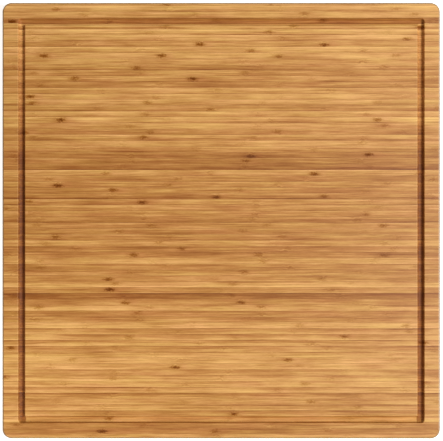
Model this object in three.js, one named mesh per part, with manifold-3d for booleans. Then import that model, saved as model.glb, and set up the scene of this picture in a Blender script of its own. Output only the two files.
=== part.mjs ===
// Cutting board: vertical-grain bamboo strips glued side by side in one layer, trimmed to size,
// with its edges and corners rounded and a juice groove cut round the border.
// Millimetres. +X runs along the strips, +Y to the back edge, +Z up, and the origin is the
// middle of the underside.

import * as THREE from 'three';
import { mergeVertices } from 'three/addons/utils/BufferGeometryUtils.js';
import Module from 'manifold-3d';

const wasm = await Module();
wasm.setup();

// Board
const BOARD_LENGTH = 508;
const BOARD_WIDTH = 506;
const BOARD_THICKNESS = 19;
const CORNER_RADIUS = 11;
const EDGE_ROUND = 2;

// Strips, counted from the back edge. Trimming the glued blank narrows the first and the last.
const STRIP_COUNT = 75;
const STRIP_PITCH = 6.8;
const BACK_STRIP_WIDTH = 3.8;
const GLUE_LINE = 0.1;

// Strips are laid up in fives, and the second and the third of each five are one glued pair.
const LAYUP = 5;
const PAIR_START = 1;
const GROOVE_STRIPS = { 4: 'back', 72: 'front' };
const BORDER_STRIPS = 3;

// Juice groove, cut by a round-nosed bit that is run along four straight lines
const GROOVE_INSET = 18.4;
const GROOVE_WIDTH = 8;
const GROOVE_DEPTH = 4.5;

// Facets of a corner's quarter turn, of a rounded edge and of the groove's half-round floor
const CORNER_FACETS = 6;
const EDGE_FACETS = 3;
const GROOVE_FACETS = 8;

// A shape splits each of its arcs into twice the curve segments that are asked for.
const ARC_DOUBLING = 2;

// How far a cutting tool runs past the faces that it cuts through
const CUT_CLEARANCE = 1;

// Slats are dealt from a mixed pile: three browns stand out, the back half has an amber band, and the
// slats are paler towards the front. Shades are l pale, m honey, d amber and b brown.
const BROWN_SLATS = [4, 29, 51];
const AMBER_BAND = { middle: 32, reach: 11, depth: 0.36 };
const PALER_TO_FRONT = 0.2;
const DEAL = { square: 37, step: 11, pile: 101 };
const HONEY_FROM = 0.3;
const PALE_FROM = 0.75;
const FINISHES = {
  l: { color: 0xdba76a, roughness: 0.5, metalness: 0 },
  m: { color: 0xc98f52, roughness: 0.52, metalness: 0 },
  d: { color: 0xb27842, roughness: 0.54, metalness: 0 },
  b: { color: 0x8f5a2c, roughness: 0.56, metalness: 0 },
};

function solidFrom(geometry) {
  geometry.deleteAttribute('normal');
  geometry.deleteAttribute('uv');
  const merged = mergeVertices(geometry);
  return new wasm.Manifold(new wasm.Mesh({
    numProp: 3,
    vertProperties: new Float32Array(merged.attributes.position.array),
    triVerts: new Uint32Array(merged.index.array),
  }));
}

function geometryFrom(solid) {
  const mesh = solid.getMesh();
  const geometry = new THREE.BufferGeometry();
  geometry.setAttribute('position', new THREE.BufferAttribute(mesh.vertProperties, mesh.numProp));
  geometry.setIndex(new THREE.BufferAttribute(mesh.triVerts, 1));
  return geometry;
}

// The board before its groove is cut: a rounded rectangle with rounded top and bottom edges.
function boardBlank() {
  const x = BOARD_LENGTH / 2 - CORNER_RADIUS;
  const y = BOARD_WIDTH / 2 - CORNER_RADIUS;
  const outline = new THREE.Shape();
  outline.absarc(x, y, CORNER_RADIUS, 0, Math.PI / 2);
  outline.absarc(-x, y, CORNER_RADIUS, Math.PI / 2, Math.PI);
  outline.absarc(-x, -y, CORNER_RADIUS, Math.PI, Math.PI * 1.5);
  outline.absarc(x, -y, CORNER_RADIUS, Math.PI * 1.5, Math.PI * 2);
  const geometry = new THREE.ExtrudeGeometry(outline, {
    depth: BOARD_THICKNESS - 2 * EDGE_ROUND,
    curveSegments: CORNER_FACETS / ARC_DOUBLING,
    bevelThickness: EDGE_ROUND,
    bevelSize: EDGE_ROUND,
    bevelOffset: -EDGE_ROUND,
    bevelSegments: EDGE_FACETS,
  });
  geometry.translate(0, 0, EDGE_ROUND);
  return solidFrom(geometry);
}

// One straight run of the bit along +X: a half-round floor under upright walls.
function grooveRun(length) {
  const radius = GROOVE_WIDTH / 2;
  const top = GROOVE_DEPTH + CUT_CLEARANCE;
  const section = new THREE.Shape();
  section.absarc(0, radius, radius, Math.PI, Math.PI * 2);
  section.lineTo(radius, top);
  section.lineTo(-radius, top);
  const geometry = new THREE.ExtrudeGeometry(section, {
    depth: length,
    curveSegments: GROOVE_FACETS / ARC_DOUBLING,
    bevelEnabled: false,
  });
  geometry.translate(0, 0, -length / 2);
  geometry.applyMatrix4(new THREE.Matrix4().makeBasis(
    new THREE.Vector3(0, 1, 0),
    new THREE.Vector3(0, 0, 1),
    new THREE.Vector3(1, 0, 0),
  ));
  return geometry;
}

// The bit's own shape, where it turns at a corner.
function groovePlunge() {
  const radius = GROOVE_WIDTH / 2;
  const steps = GROOVE_FACETS / 2;
  const profile = [];
  for (let step = 0; step <= steps; step += 1) {
    const turn = (step / steps) * (Math.PI / 2);
    profile.push(new THREE.Vector2(radius * Math.sin(turn), radius * (1 - Math.cos(turn))));
  }
  profile.push(new THREE.Vector2(radius, GROOVE_DEPTH + CUT_CLEARANCE));
  profile.push(new THREE.Vector2(0, GROOVE_DEPTH + CUT_CLEARANCE));
  return new THREE.LatheGeometry(profile, 2 * GROOVE_FACETS).rotateX(Math.PI / 2);
}

function boardWithGroove() {
  const x = BOARD_LENGTH / 2 - GROOVE_INSET - GROOVE_WIDTH / 2;
  const y = BOARD_WIDTH / 2 - GROOVE_INSET - GROOVE_WIDTH / 2;
  const floor = BOARD_THICKNESS - GROOVE_DEPTH;
  let board = boardBlank();
  for (const side of [-1, 1]) {
    board = board.subtract(solidFrom(grooveRun(2 * x).translate(0, side * y, floor)));
    board = board.subtract(solidFrom(
      grooveRun(2 * y).rotateZ(Math.PI / 2).translate(side * x, 0, floor),
    ));
    for (const end of [-1, 1]) {
      board = board.subtract(solidFrom(groovePlunge().translate(side * x, end * y, floor)));
    }
  }
  return board;
}

// How far from the back edge the joint after a number of strips lies.
function jointAfter(count) {
  return count === 0 ? 0 : Math.min(BACK_STRIP_WIDTH + (count - 1) * STRIP_PITCH, BOARD_WIDTH);
}

// The strips between two numbers, cut out of the whole board half a glue line inside each joint.
function stripsFrom(board, first, last) {
  const backEase = first === 1 ? CUT_CLEARANCE : -GLUE_LINE / 2;
  const frontEase = last === STRIP_COUNT ? CUT_CLEARANCE : -GLUE_LINE / 2;
  const back = BOARD_WIDTH / 2 - jointAfter(first - 1) + backEase;
  const front = BOARD_WIDTH / 2 - jointAfter(last) - frontEase;
  const slice = new THREE.BoxGeometry(
    BOARD_LENGTH + 2 * CUT_CLEARANCE,
    back - front,
    BOARD_THICKNESS + 2 * CUT_CLEARANCE,
  );
  slice.translate(0, (back + front) / 2, BOARD_THICKNESS / 2);
  return board.intersect(solidFrom(slice));
}

function nodeName(first, last) {
  const numbers = [first, last]
    .filter((number, place, all) => place === all.indexOf(number))
    .map((number) => String(number).padStart(2, '0'))
    .join('_');
  const kind = first === last ? 'strip' : 'strip_pair';
  if (first === 1) return `back_edge_${kind}_${numbers}`;
  if (last === STRIP_COUNT) return `front_edge_${kind}_${numbers}`;
  if (GROOVE_STRIPS[first]) return `${GROOVE_STRIPS[first]}_groove_${kind}_${numbers}`;
  if (last <= BORDER_STRIPS) return `back_border_${kind}_${numbers}`;
  if (first > STRIP_COUNT - BORDER_STRIPS) return `front_border_${kind}_${numbers}`;
  return `field_${kind}_${numbers}`;
}

// First and last strip number of every node, from the back edge to the front edge.
function nodeSpans() {
  const spans = [];
  for (let start = 1; start <= STRIP_COUNT; start += LAYUP) {
    const pair = start + PAIR_START;
    for (let number = start; number < start + LAYUP; number += 1) {
      if (number === pair) spans.push([number, number + 1]);
      else if (number !== pair + 1) spans.push([number, number]);
    }
  }
  return spans;
}

function paleness(number) {
  const dealt = ((DEAL.square * number ** 2 + DEAL.step * number) % DEAL.pile) / DEAL.pile;
  const fromBand = (number - AMBER_BAND.middle) / AMBER_BAND.reach;
  return dealt + (PALER_TO_FRONT * number) / STRIP_COUNT - AMBER_BAND.depth * Math.exp(-(fromBand ** 2));
}

function shadeOf(number) {
  if (BROWN_SLATS.includes(number)) return 'b';
  if (paleness(number) < HONEY_FROM) return 'd';
  return paleness(number) < PALE_FROM ? 'm' : 'l';
}

const cuttingBoard = new THREE.Group();
const board = boardWithGroove();
for (const [first, last] of nodeSpans()) {
  const geometry = geometryFrom(stripsFrom(board, first, last));
  const middle = BOARD_WIDTH / 2 - (jointAfter(first - 1) + jointAfter(last)) / 2;
  geometry.translate(0, -middle, 0);
  const material = new THREE.MeshStandardMaterial({ ...FINISHES[shadeOf(first)], flatShading: true });
  const strip = new THREE.Mesh(geometry, material);
  strip.name = nodeName(first, last);
  strip.position.y = middle;
  cuttingBoard.add(strip);
}

export default cuttingBoard;
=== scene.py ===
import bpy
import numpy as np
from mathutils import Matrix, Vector


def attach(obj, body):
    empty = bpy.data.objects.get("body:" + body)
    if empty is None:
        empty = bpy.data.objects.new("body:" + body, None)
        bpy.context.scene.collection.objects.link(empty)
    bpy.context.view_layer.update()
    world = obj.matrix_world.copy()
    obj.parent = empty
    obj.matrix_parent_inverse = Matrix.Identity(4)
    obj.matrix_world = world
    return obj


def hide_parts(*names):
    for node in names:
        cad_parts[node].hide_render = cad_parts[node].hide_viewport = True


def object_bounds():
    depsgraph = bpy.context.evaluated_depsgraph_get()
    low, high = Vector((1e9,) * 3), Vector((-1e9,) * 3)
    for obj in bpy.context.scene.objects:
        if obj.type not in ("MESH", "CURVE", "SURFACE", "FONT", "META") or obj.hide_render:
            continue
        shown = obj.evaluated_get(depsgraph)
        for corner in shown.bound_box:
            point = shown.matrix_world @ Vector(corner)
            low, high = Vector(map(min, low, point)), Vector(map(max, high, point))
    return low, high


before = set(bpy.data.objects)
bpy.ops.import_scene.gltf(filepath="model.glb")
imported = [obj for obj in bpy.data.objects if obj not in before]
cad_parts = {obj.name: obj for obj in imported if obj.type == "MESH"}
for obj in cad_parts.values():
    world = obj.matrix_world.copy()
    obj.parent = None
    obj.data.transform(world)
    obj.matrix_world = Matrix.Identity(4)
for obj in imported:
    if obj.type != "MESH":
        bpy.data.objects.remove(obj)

cad_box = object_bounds()

# ---------------------------------------------------------------------------------------------
# Back border: strips 1 to 3
# Bamboo slats ripped from the culm wall, planed square and stood on edge, so that the wall's own
# thickness shows on top. They are glued face to face, and the outer one is trimmed and rounded.
# ---------------------------------------------------------------------------------------------
half_length, half_width, thickness = cad_box[1]
corner_radius = 0.011
edge_round = 0.002
inset_reach = 0.0026
strip_count = 75
strip_pitch = 0.0068
back_strip_width = 0.0038
glue_film = 0.0001

groove_radius = 0.004
groove_depth = 0.0045
groove_lip = groove_depth - groove_radius
groove_inset = 0.0184
groove_half_length = half_length - groove_inset - groove_radius
groove_half_width = half_width - groove_inset - groove_radius
groove_reach = groove_radius + groove_lip
flat_beside_lip = 0.0003

station_count = 45
clear_of_groove = 0.002
station_gap, row_gap = 1e-6, 1e-5
tail_shares = (0.2, 0.45, 0.7, 0.9, 0.975, 1.0)
corner_step, floor_step = 7.5, 15
sharp_turn = 42


def joint_after(count):
    """Distance from the back edge to the joint that follows this many strips: the trimmed first strip and
    then whole pitches, up to the board's width."""
    if count == 0:
        return 0.0
    return min(back_strip_width + (count - 1) * strip_pitch, 2 * half_width)


def groove_profile_offsets():
    """Places across the groove, from its centreline: radius times the sine of equal angles over the
    half-round floor, the quarter-round lip on each side at equal angles, and one on the flat beside it."""
    floor = groove_radius * np.sin(np.radians(np.arange(-90, 91, floor_step)))
    lip = groove_radius + groove_lip * (1 - np.cos(np.radians([30, 60, 90])))
    beside = [groove_reach + flat_beside_lip]
    return np.concatenate([np.negative(beside), -lip[::-1], floor, lip, beside])


def top_height(x, y):
    """Height of the worked top. The distance to the groove's rectangular centreline is the size of the
    signed box distance; over the bit's radius the floor is a half circle, then the lip is a quarter
    circle, and past it the top is flat."""
    across_x, across_y = np.abs(x) - groove_half_length, np.abs(y) - groove_half_width
    outside = np.hypot(np.maximum(across_x, 0), np.maximum(across_y, 0))
    distance = np.abs(outside + np.minimum(np.maximum(across_x, across_y), 0))
    bit_centre = thickness - groove_lip
    floor = bit_centre - np.sqrt(np.maximum(groove_radius**2 - distance**2, 0))
    to_flat = np.clip(groove_reach - distance, 0, groove_lip)
    lip = bit_centre + np.sqrt(groove_lip**2 - to_flat**2)
    return np.where(distance < groove_radius, floor, lip)


def outline_half_length(y, inset):
    """Half the board's length at y on the outline moved in by inset: straight ends, and quarter-circle
    corners whose radius is the corner radius less the inset."""
    into_corner = np.maximum(np.abs(y) - (half_width - corner_radius), 0)
    radius = corner_radius - inset
    return half_length - corner_radius + np.sqrt(np.maximum(radius**2 - into_corner**2, 0))


def edge_levels(step):
    """Heights and insets up the board's rounded side: a quarter circle at the bottom edge, the straight
    side, and a quarter circle at the top edge, in steps of that many degrees."""
    turn = np.radians(np.arange(0, 91, step))
    rise, inset = edge_round * (1 - np.cos(turn)), edge_round * (1 - np.sin(turn))
    return np.concatenate([rise, thickness - rise[::-1]]), np.concatenate([inset, inset[::-1]])


def apart(values, gap):
    """The sorted values, without any that lies closer than gap to the one before it."""
    values = np.unique(np.round(values, 7))
    keep = [values[0]]
    for value in values[1:-1]:
        if value - keep[-1] > gap and values[-1] - value > gap:
            keep.append(value)
    return np.array(keep + [values[-1]])


def slat_shell(back, front, cells, level_step, sink=0.0):
    """A slat between two distances from the back edge, as the skin of a lattice. Stations run along it,
    rows across it and levels up it. Past the groove the stations stretch to the rounded outline at each
    row and level, an outer row follows the edge's inset, and the levels shrink to the top's height. The
    whole skin lies the sink further in."""
    y_low, y_high = half_width - front, half_width - back
    outer_low, outer_high = front >= 2 * half_width, back <= 0

    offsets = groove_profile_offsets()
    field = np.linspace(-groove_half_length, groove_half_length, station_count)
    field = field[np.abs(field) < groove_half_length - groove_reach - clear_of_groove]
    side_runs = [groove_half_length + offsets, -groove_half_length - offsets]
    fixed = apart(np.concatenate([field, *side_runs]), station_gap)
    tail = np.array(tail_shares)
    x_start = groove_half_length + groove_reach + flat_beside_lip

    corner_turn = np.radians(np.arange(0, 91, corner_step))
    corner_rows = half_width - corner_radius + corner_radius * np.sin(corner_turn)
    end_runs = [groove_half_width + offsets, -groove_half_width - offsets]
    features = np.concatenate([corner_rows, -corner_rows, *end_runs])
    features = features[(features > y_low) & (features < y_high)]
    rows = apart(np.concatenate([np.linspace(y_low, y_high, cells + 1), features]), row_gap)
    heights, insets = edge_levels(level_step)

    n_x, n_y, n_z = len(fixed) + 2 * len(tail), len(rows), len(heights)
    y = np.broadcast_to(rows[None, :, None], (n_x, n_y, n_z)).copy()
    inset = np.broadcast_to(insets[None, None, :], y.shape)
    if outer_high:
        y = y_low + (y - y_low) * (y_high - inset - y_low) / (y_high - y_low)
    if outer_low:
        y = y_high - (y_high - y) * (y_high - inset - y_low) / (y_high - y_low)
    half = outline_half_length(y, inset) - sink
    x = np.empty_like(y)
    x[len(tail):-len(tail)] = fixed[:, None, None]
    x[-len(tail):] = x_start + tail[:, None, None] * (half[-len(tail):] - x_start)
    x[:len(tail)] = -(x_start + tail[::-1, None, None] * (half[:len(tail)] - x_start))
    top = top_height(x, y)
    z = sink + heights[None, None, :] * (top - 2 * sink) / thickness
    sunk = np.where(heights == thickness, (thickness - top) / groove_depth, 0)
    crosscut = np.where(np.abs(np.abs(x) - groove_half_length) < groove_reach, sunk, 0)
    rounding = 1 - inset / edge_round
    end_wise = np.abs(x) > half - inset_reach
    side_wise = np.abs(y) > half_width - inset_reach
    rounded = np.where(end_wise | side_wise, rounding, 0)

    number = np.arange(n_x * n_y * n_z).reshape(n_x, n_y, n_z)
    skins = [
        quads(number[:, :, -1]),
        quads(number[:, :, 0].T),
        quads(number[:, -1, :].T),
        quads(number[:, 0, :]),
        quads(number[-1, :, :]),
        quads(number[0, :, :].T),
    ]
    faces = np.concatenate(skins)
    used, faces = np.unique(faces, return_inverse=True)
    points = np.stack([x.ravel(), y.ravel(), z.ravel()], axis=1)[used]
    worked = [share.ravel()[used] for share in (sunk, rounded, crosscut)]
    return points, faces.reshape(-1, 4), worked, (y_low, y_high)


def quads(grid):
    """The four-sided faces of a grid of point numbers, turned first index towards second."""
    return np.stack([grid[:-1, :-1], grid[1:, :-1], grid[1:, 1:], grid[:-1, 1:]], axis=-1).reshape(-1, 4)


def mesh_piece(name, points, faces):
    """An object at the origin whose mesh has these points and four-sided faces, smooth across small
    turns and sharp across square ones."""
    mesh = bpy.data.meshes.new(name)
    mesh.from_pydata(points.tolist(), [], faces.tolist())
    mesh.polygons.foreach_set("use_smooth", np.ones(len(faces), bool))
    mesh.set_sharp_from_angle(angle=np.radians(sharp_turn))
    mesh.validate()
    piece = bpy.data.objects.new(name, mesh)
    bpy.context.scene.collection.objects.link(piece)
    return piece


def put_attribute(mesh, name, domain, columns):
    """Writes three columns of numbers as a vector attribute on the mesh's points or corners."""
    made = mesh.attributes.new(name, "FLOAT_VECTOR", domain)
    made.data.foreach_set("vector", np.stack(columns, axis=1).astype(np.float32).ravel())


# Culm nodes come an internode apart, and most of them are faint.
internode_range = (0.120, 0.150)
internodes_each_way = 5
faintest_node = 0.1
faint_power = 5


def node_places(chance):
    """Places along a slat, from the board's middle, of its culm nodes, an internode apart from a start
    dealt anywhere; and their strengths, a high power of an even draw, which leaves few dark ones."""
    steps = np.arange(-internodes_each_way, internodes_each_way + 1)
    places = chance.uniform(-half_length, half_length) + steps * chance.uniform(*internode_range)
    places = places[np.abs(places) < half_length]
    return places, faintest_node + (1 - faintest_node) * chance.random(len(places)) ** faint_power


# Slats are dealt from a mixed pile: three browns stand out, the back half has an amber band, and the
# slats are paler towards the front. From the middle on they lie with their skin side to the back.
brown_slats = (4, 29, 51)
amber_band_middle, amber_band_reach, amber_band_depth = 32, 11, 0.36
paler_to_front = 0.2
deal_square, deal_step, deal_pile = 37, 11, 101
brown_light, dealt_light, light_step = 0.40, 0.505, 0.26
first_turned_strip = 43
wall_share = (0.0, 1.5)
eye_drift = 0.0012
first_seed = 1000


def paleness(strip):
    """How pale a slat was dealt, near 0 to 1.2: its place's deal, a square of its number left over from
    whole piles, plus a rise towards the front, less a bell over the amber band."""
    dealt = (deal_square * strip**2 + deal_step * strip) % deal_pile / deal_pile
    from_band = (strip - amber_band_middle) / amber_band_reach
    return dealt + paler_to_front * strip / strip_count - amber_band_depth * np.exp(-(from_band**2))


def make_slat(strip, dark_node=None, cells=4, level_step=22.5):
    """One slat as its own piece, with what its material needs: how far each corner lies from the nearest
    culm node, where that node's eye sits across the slat and how dark it is; how deep in the culm wall
    each point lies, the slat's tone and its own number; and how far the groove is sunk there."""
    chance = np.random.default_rng(first_seed + strip)
    back = joint_after(strip - 1) + (glue_film / 2 if strip > 1 else 0)
    front = joint_after(strip) - (glue_film / 2 if strip < strip_count else 0)
    points, faces, worked, (y_low, y_high) = slat_shell(back, front, cells, level_step)
    piece = mesh_piece(f"strip_{strip:02d}", points, faces)
    places, strengths = node_places(chance)
    if dark_node is not None:
        places, strengths = np.append(places, dark_node), np.append(strengths, 1.0)
    eyes = (y_low + y_high) / 2 + chance.uniform(-eye_drift, eye_drift, len(places))
    middle = points[faces, 0].mean(axis=1)
    nearest = np.abs(middle[:, None] - places[None, :]).argmin(axis=1)
    corner_node = np.repeat(nearest, 4)
    along = points[faces.ravel(), 0] - places[corner_node]
    across = points[faces.ravel(), 1] - eyes[corner_node]
    put_attribute(piece.data, "culm_node", "CORNER", (along, across, strengths[corner_node]))
    wall = (points[:, 1] - y_low) / (y_high - y_low)
    if strip >= first_turned_strip:
        wall = 1 - wall
    wall = 0.5 + (wall - 0.5) * chance.uniform(*wall_share)
    tone = brown_light if strip in brown_slats else dealt_light + light_step * float(paleness(strip))
    even = np.ones(len(wall))
    put_attribute(piece.data, "slat", "POINT", (wall, even * tone, even * strip))
    put_attribute(piece.data, "worked", "POINT", worked)
    piece.data.materials.append(oiled_bamboo)
    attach(piece, "root")
    return piece


def put(tree, kind, inputs, **settings):
    """Adds one shader node. inputs maps an input's name or number to a value or to another node's output."""
    made = tree.nodes.new(kind)
    for name, value in settings.items():
        setattr(made, name, value)
    for key, value in inputs.items():
        if isinstance(value, bpy.types.NodeSocket):
            tree.links.new(value, made.inputs[key])
        else:
            made.inputs[key].default_value = value
    return made


def calc(tree, operation, *values):
    """The result of one Math node on these numbers and outputs."""
    return put(tree, "ShaderNodeMath", dict(enumerate(values)), operation=operation).outputs[0]


def bell(tree, value, reach):
    """exp of minus the square of value over reach: 1 at value 0 and near 0 past twice the reach."""
    ratio = calc(tree, "DIVIDE", value, reach)
    return calc(tree, "EXPONENT", calc(tree, "MULTIPLY", calc(tree, "MULTIPLY", ratio, ratio), -1.0))


def ramp_between(tree, value, low, high):
    """0 below low, 1 above high and smooth between."""
    made = put(tree, "ShaderNodeMapRange", {0: value, 1: low, 2: high}, interpolation_type="SMOOTHSTEP")
    return made.outputs[0]


def fibre_noise(tree, position, across, along, detail, roughness=0.5):
    """Noise drawn out along the slat, with this size across it and along it in metres, from -0.5 to 0.5."""
    scale = (1 / along, 1 / across, 1 / across)
    stretched = put(tree, "ShaderNodeVectorMath", {0: position, 1: scale}, operation="MULTIPLY").outputs[0]
    inputs = {"Vector": stretched, "Scale": 1.0, "Detail": detail, "Roughness": roughness}
    return calc(tree, "SUBTRACT", put(tree, "ShaderNodeTexNoise", inputs).outputs["Fac"], 0.5)


def linear(*colour):
    """A colour given in the usual 0 to 255 steps, as the light it stands for."""
    share = np.array(colour) / 255
    return (*np.where(share <= 0.04045, share / 12.92, ((share + 0.055) / 1.055) ** 2.4), 1.0)


def weighed(tree, *pairs):
    """The sum of outputs, each times its own weight."""
    result = None
    for value, weight in pairs:
        part = calc(tree, "MULTIPLY", value, weight)
        result = part if result is None else calc(tree, "ADD", result, part)
    return result


def attribute_parts(tree, name):
    """The three numbers of a vector attribute."""
    read = put(tree, "ShaderNodeAttribute", {}, attribute_name=name).outputs["Vector"]
    return put(tree, "ShaderNodeSeparateXYZ", {0: read}).outputs


def moved(tree, position, x, y, z):
    """The position moved by these three numbers or outputs."""
    by = put(tree, "ShaderNodeCombineXYZ", {0: x, 1: y, 2: z}).outputs[0]
    return put(tree, "ShaderNodeVectorMath", {0: position, 1: by}, operation="ADD").outputs[0]


def blend(tree, share, first, second, kind="MIX"):
    """Two colours mixed by a share of the second, or multiplied."""
    made = put(tree, "ShaderNodeMix", {0: share, 6: first, 7: second}, data_type="RGBA", blend_type=kind)
    return made.outputs[2]


def bamboo_finish(name):
    """Oiled bamboo. Its lightness is the slat's tone, plus a slope through the culm wall from the dark
    skin side to the pale inner side, plus fibre bundles drawn out along the slat; a culm node is a dark
    eye in a mottled band, where fibres swirl; cut ends are darker. The groove is darker and greyer the
    deeper it is sunk, painted shade in the hollow, and the side grooves are darker still, more so towards
    the front. A painted light slope makes the board lighter towards the back, and painted shade darkens
    the middle of the rounded edge."""
    material = bpy.data.materials.new(name)
    material.use_nodes = True
    tree = material.node_tree
    tree.nodes.clear()

    place = put(tree, "ShaderNodeTexCoord", {}).outputs["Object"]
    along, across, strength = attribute_parts(tree, "culm_node")
    wall, tone, number = attribute_parts(tree, "slat")
    sunk, rounded, crosscut = attribute_parts(tree, "worked")

    # Each slat draws its grain from its own stretch of the noise. Its fibres wander a little, and swirl
    # at a culm node.
    own = moved(tree, place, calc(tree, "MULTIPLY", number, 1.37), 0.0, calc(tree, "MULTIPLY", number, 0.11))
    wander = fibre_noise(tree, own, 0.02, 0.09, 1.0)
    swirl = calc(tree, "MULTIPLY", fibre_noise(tree, own, 0.0030, 0.0050, 2.0), bell(tree, along, 0.008))
    fibres = moved(tree, own, 0.0, weighed(tree, (wander, 0.0014), (swirl, 0.0055)), 0.0)

    # Grain: whole stretches of a slat, growth layers through the wall, streaks, and thin dark threads.
    stretches = fibre_noise(tree, own, 0.030, 0.060, 2.0)
    layers = fibre_noise(tree, fibres, 0.0018, 0.080, 2.0)
    streaks = fibre_noise(tree, fibres, 0.0010, 0.024, 2.0, 0.6)
    fine = fibre_noise(tree, fibres, 0.00045, 0.012, 2.0, 0.6)
    flecks = fibre_noise(tree, own, 0.0006, 0.004, 2.0)
    threads = ramp_between(tree, fibre_noise(tree, fibres, 0.0006, 0.050, 1.0), 0.11, 0.24)
    drift = fibre_noise(tree, place, 0.09, 0.16, 2.0)

    # The culm's skin: pale inner side, dark outer side, and a darker last layer that comes and goes.
    skin_side = calc(tree, "SUBTRACT", 0.5, wall)
    comes_and_goes = ramp_between(tree, fibre_noise(tree, own, 0.03, 0.07, 2.0), -0.06, 0.20)
    skin = calc(tree, "MULTIPLY", bell(tree, wall, 0.20), comes_and_goes)
    inner = bell(tree, calc(tree, "SUBTRACT", 1.0, wall), 0.16)

    # Culm node: a ragged dark eye, soft shade about it, and a mottled band across the slat.
    ragged = fibre_noise(tree, own, 0.0012, 0.0022, 3.0)
    eye_place = put(
        tree,
        "ShaderNodeCombineXYZ",
        {0: calc(tree, "DIVIDE", along, 0.0044), 1: calc(tree, "DIVIDE", across, 0.0017)},
    ).outputs[0]
    eye_reach = put(tree, "ShaderNodeVectorMath", {0: eye_place}, operation="LENGTH").outputs["Value"]
    from_eye = weighed(tree, (eye_reach, 1.0), (ragged, 3.6))
    eye = calc(tree, "SUBTRACT", 1.0, ramp_between(tree, from_eye, 0.0, 1.7))
    shade = calc(tree, "MULTIPLY", bell(tree, along, 0.0070), bell(tree, across, 0.0024))
    band = calc(tree, "MULTIPLY", bell(tree, along, 0.0050), weighed(tree, (strength, 0.7), (1.0, 0.3)))
    mottle = calc(tree, "MULTIPLY", band, fibre_noise(tree, own, 0.0014, 0.0019, 2.0))
    crack = calc(tree, "MULTIPLY", bell(tree, along, 0.007), bell(tree, wall, 0.14))

    # Cut across the grain, on the ends, the wood is darker. The side grooves are darker too, more so
    # towards the front. A painted light slope makes the board lighter towards the back, and painted shade
    # darkens the middle of the rounded edge.
    facing = put(tree, "ShaderNodeSeparateXYZ", {0: put(tree, "ShaderNodeNewGeometry", {}).outputs["Normal"]})
    end_grain = ramp_between(tree, calc(tree, "ABSOLUTE", facing.outputs[0]), 0.15, 0.85)

    # towards_back is the place towards the back edge; the lightness rises along it, a painted light slope.
    towards_back = put(tree, "ShaderNodeSeparateXYZ", {0: place}).outputs[1]
    # front_share is 1 over the front and the middle and falls to 0 near the back edge.
    front_share = calc(tree, "SUBTRACT", 1.0, ramp_between(tree, towards_back, 0.02, 0.23))
    # rim_shade peaks along the middle of the rounded edge: painted shade where the edge turns away from the
    # light.
    rim_shade = calc(tree, "MULTIPLY", calc(tree, "MULTIPLY", rounded, calc(tree, "SUBTRACT", 1.0, rounded)), 4.0)

    lightness = weighed(
        tree,
        (tone, 1.0),
        (skin_side, -0.15),
        (skin, -0.18),
        (inner, 0.04),
        (stretches, 0.45),
        (layers, 0.64),
        (streaks, 0.44),
        (fine, 0.18),
        (flecks, 0.16),
        (threads, -0.10),
        (drift, 0.10),
        # painted light: the board lighter towards the back
        (towards_back, 0.24),
        (calc(tree, "MULTIPLY", eye, strength), -0.42),
        (calc(tree, "MULTIPLY", shade, strength), -0.24),
        (calc(tree, "MULTIPLY", crack, strength), -0.14),
        (mottle, 0.60),
        (calc(tree, "MULTIPLY", end_grain, rounded), -0.14),
        # painted shade: darker the deeper the groove is sunk
        (sunk, -0.08),
        # the side grooves darker, more so towards the front
        (calc(tree, "MULTIPLY", crosscut, front_share), -0.42),
        # painted shade along the rounded edge, a little more on the ends
        (calc(tree, "MULTIPLY", rim_shade, end_grain), -0.06),
        (rim_shade, -0.02),
    )

    ramp = put(tree, "ShaderNodeValToRGB", {0: lightness})
    stops = [
        (0.00, (112, 54, 3)),
        (0.29, (152, 88, 20)),
        (0.57, (191, 131, 65)),
        (1.00, (245, 193, 122)),
    ]
    ramp.color_ramp.elements.remove(ramp.color_ramp.elements[1])
    ramp.color_ramp.elements[0].color = linear(*stops[0][1])
    for position, colour in stops[1:]:
        ramp.color_ramp.elements.new(position).color = linear(*colour)

    # Some stretches lean to pink and others to olive, and there is pink beside a node.
    lean = weighed(
        tree,
        (fibre_noise(tree, own, 0.007, 0.060, 2.0), 2.4),
        (calc(tree, "MULTIPLY", bell(tree, calc(tree, "SUBTRACT", along, 0.010), 0.005), strength), -0.6),
        (calc(tree, "MULTIPLY", eye, strength), 1.0),
        (1.0, 0.5),
    )
    tint = blend(tree, lean, linear(255, 245, 238), linear(252, 253, 224))
    colour = blend(tree, 1.0, ramp.outputs["Color"], tint, "MULTIPLY")
    # The groove is tinted greyer brown the deeper it is sunk: painted shade in the hollow.
    colour = blend(tree, calc(tree, "MULTIPLY", sunk, 0.10), colour, linear(150, 100, 60))
    # The middle of the rounded edge is greyed and darkened: painted shade.
    colour = blend(tree, calc(tree, "MULTIPLY", rim_shade, 0.8), colour, linear(142, 120, 84))

    roughness = weighed(tree, (1.0, 0.45), (fine, 0.25), (streaks, 0.12), (end_grain, 0.1), (sunk, 0.25))
    gloss = weighed(tree, (1.0, 0.5), (calc(tree, "MULTIPLY", eye, strength), -0.4), (sunk, -0.1))
    relief = weighed(tree, (fine, 1.0), (streaks, 0.6), (eye, 0.5))
    bump = put(tree, "ShaderNodeBump", {"Height": relief, "Strength": 0.35, "Distance": 0.00012}).outputs[0]
    surface = put(
        tree,
        "ShaderNodeBsdfPrincipled",
        {"Base Color": colour, "Roughness": roughness, "Normal": bump, "Specular IOR Level": gloss},
    )
    put(tree, "ShaderNodeOutputMaterial", {"Surface": surface.outputs[0]})
    return material


oiled_bamboo = bamboo_finish("oiled_bamboo")
back_nodes = {
    1: "back_edge_strip_01",
    2: "back_border_strip_pair_02_03",
    3: "back_border_strip_pair_02_03",
}
for strip, node in back_nodes.items():
    slat = make_slat(strip)
    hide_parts(node)

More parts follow.
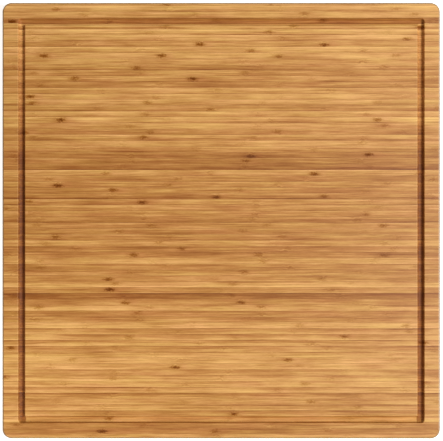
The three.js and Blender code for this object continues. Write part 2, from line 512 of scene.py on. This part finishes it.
# ---------------------------------------------------------------------------------------------
# Back groove strip: strip 4
# A dark caramelised slat, laid where the back run of the juice groove is cut along it. It has a dark
# culm node near its left end.
# ---------------------------------------------------------------------------------------------
end_node_from_middle = 0.010 - half_length
back_groove_slat = make_slat(4, dark_node=end_node_from_middle)
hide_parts("back_groove_strip_04")

# ---------------------------------------------------------------------------------------------
# Field: strips 5 to 71
# The cutting surface proper, mixed slats whose ends cross the left and right runs of the groove.
# In each lay-up of five, the second and the third were glued as a pair first.
# ---------------------------------------------------------------------------------------------
layup = 5


def field_node(strip):
    """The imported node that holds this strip: its own, or the pair of the second and third of each five."""
    place_in_five = (strip - 1) % layup
    if place_in_five in (1, 2):
        first = strip - place_in_five + 1
        return f"field_strip_pair_{first:02d}_{first + 1:02d}"
    return f"field_strip_{strip:02d}"


for strip in range(5, 72):
    slat = make_slat(strip)
    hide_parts(field_node(strip))

# ---------------------------------------------------------------------------------------------
# Front groove strips: strips 72 and 73
# A glued pair that holds the front run of the juice groove, most of it in the first.
# ---------------------------------------------------------------------------------------------
for strip in (72, 73):
    slat = make_slat(strip)
    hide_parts("front_groove_strip_pair_72_73")

# ---------------------------------------------------------------------------------------------
# Front border: strips 74 and 75
# Two more plain slats, the outer one trimmed to the board's width and rounded on its edge.
# ---------------------------------------------------------------------------------------------
for strip, node in ((74, "front_border_strip_74"), (75, "front_edge_strip_75")):
    slat = make_slat(strip)
    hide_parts(node)

# ---------------------------------------------------------------------------------------------
# Glue lines
# 74 films of cured brown food-safe glue, a tenth of a millimetre thick, between the slats. They were
# cut, grooved and sanded with the board, so they end just below its surface.
# ---------------------------------------------------------------------------------------------
glue_gap = 0.000005
glue_sink = 0.00004


def glue_finish():
    """Set glue: dark brown, a little glossy, with slow changes of tone along the board."""
    material = bpy.data.materials.new("set_glue")
    material.use_nodes = True
    tree = material.node_tree
    tree.nodes.clear()
    place = put(tree, "ShaderNodeTexCoord", {}).outputs["Object"]
    patches = calc(tree, "ADD", fibre_noise(tree, place, 0.004, 0.02, 2.0), 0.5)
    colour = put(
        tree,
        "ShaderNodeMix",
        {0: patches, 6: linear(92, 52, 20), 7: linear(150, 98, 48)},
        data_type="RGBA",
    ).outputs[2]
    roughness = calc(tree, "ADD", calc(tree, "MULTIPLY", patches, 0.2), 0.35)
    surface = put(tree, "ShaderNodeBsdfPrincipled", {"Base Color": colour, "Roughness": roughness})
    put(tree, "ShaderNodeOutputMaterial", {"Surface": surface.outputs[0]})
    return material


films = []
for joint in range(1, strip_count):
    middle = joint_after(joint)
    reach = glue_film / 2 - glue_gap
    points, faces, _, _ = slat_shell(middle - reach, middle + reach, 1, 45, glue_sink)
    films.append((points, faces))
first_numbers = np.cumsum([0] + [len(points) for points, _ in films[:-1]])
glue = mesh_piece(
    "glue_lines",
    np.concatenate([points for points, _ in films]),
    np.concatenate([faces + first for (_, faces), first in zip(films, first_numbers)]),
)
glue.data.materials.append(glue_finish())
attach(glue, "root")

# ---------------------------------------------------------------------------------------------
# Bench, light and camera
# A matt pale floor and backdrop, one soft lamp from the right, and a weak narrow one over the front
# left corner. The camera looks straight down, at the height where the board fills the frame.
# ---------------------------------------------------------------------------------------------
world = bpy.data.worlds.new("studio")
bpy.context.scene.world = world
world.use_nodes = True
world.node_tree.nodes["Background"].inputs["Color"].default_value = (1, 0.985, 0.96, 1)
world.node_tree.nodes["Background"].inputs["Strength"].default_value = 0.23


def softbox(name, at, aim, size, watts, spread=180):
    """A square soft light at a place, turned to face a point, with a grid that narrows its spread."""
    lamp = bpy.data.lights.new(name, "AREA")
    lamp.size = size
    lamp.energy = watts
    lamp.spread = np.radians(spread)
    held = bpy.data.objects.new(name, lamp)
    held.location = at
    direction = np.array(aim) - np.array(at)
    held.rotation_euler = Vector(direction).to_track_quat("-Z", "Y").to_euler()
    bpy.context.scene.collection.objects.link(held)


softbox("key_light", (2.4, -0.2, 3.05), (0, 0, 0), 0.62, 145)
softbox("front_light", (-0.5, -0.6, 0.45), (-0.19, -0.22, 0), 0.25, 0.10, 50)

room_radius = 5.0
around = np.radians(np.arange(0, 360, 7.5))
sides = len(around)
ring = np.stack([room_radius * np.cos(around), room_radius * np.sin(around)], axis=1)


def studio_piece(name, points, faces, colour, glow):
    """A matt sheet that glows a little of its own, so that it stays pale in soft light."""
    mesh = bpy.data.meshes.new(name)
    mesh.from_pydata(points, [], faces)
    piece = bpy.data.objects.new(name, mesh)
    bpy.context.scene.collection.objects.link(piece)
    finish = bpy.data.materials.new(name)
    finish.use_nodes = True
    surface = finish.node_tree.nodes["Principled BSDF"]
    surface.inputs["Base Color"].default_value = (*colour, 1)
    surface.inputs["Roughness"].default_value = 0.9
    surface.inputs["Emission Color"].default_value = (1, 0.995, 0.985, 1)
    surface.inputs["Emission Strength"].default_value = glow
    mesh.materials.append(finish)
    return piece


floor = studio_piece("floor", [(x, y, 0) for x, y in ring], [range(sides)], (0.93, 0.925, 0.915), 0.75)
wall_points = [(x, y, z) for z in (0, room_radius) for x, y in ring]
wall_faces = [(i, i + sides, (i + 1) % sides + sides, (i + 1) % sides) for i in range(sides)]
backdrop = studio_piece("backdrop", wall_points, wall_faces, (0, 0, 0), 1.0)
backdrop.visible_diffuse = False
backdrop.visible_glossy = False
backdrop.visible_shadow = False

lens, sensor = 100.0, 36.0
frame_width = 0.5145
camera_data = bpy.data.cameras.new("camera")
camera_data.lens = lens
camera_data.sensor_width = sensor
camera_data.clip_start = 0.01
camera = bpy.data.objects.new("camera", camera_data)
camera.location = (0.0003, 0.0002, thickness - edge_round + frame_width * lens / sensor)
bpy.context.scene.collection.objects.link(camera)
bpy.context.scene.camera = camera
bpy.context.scene.view_settings.view_transform = "Standard"
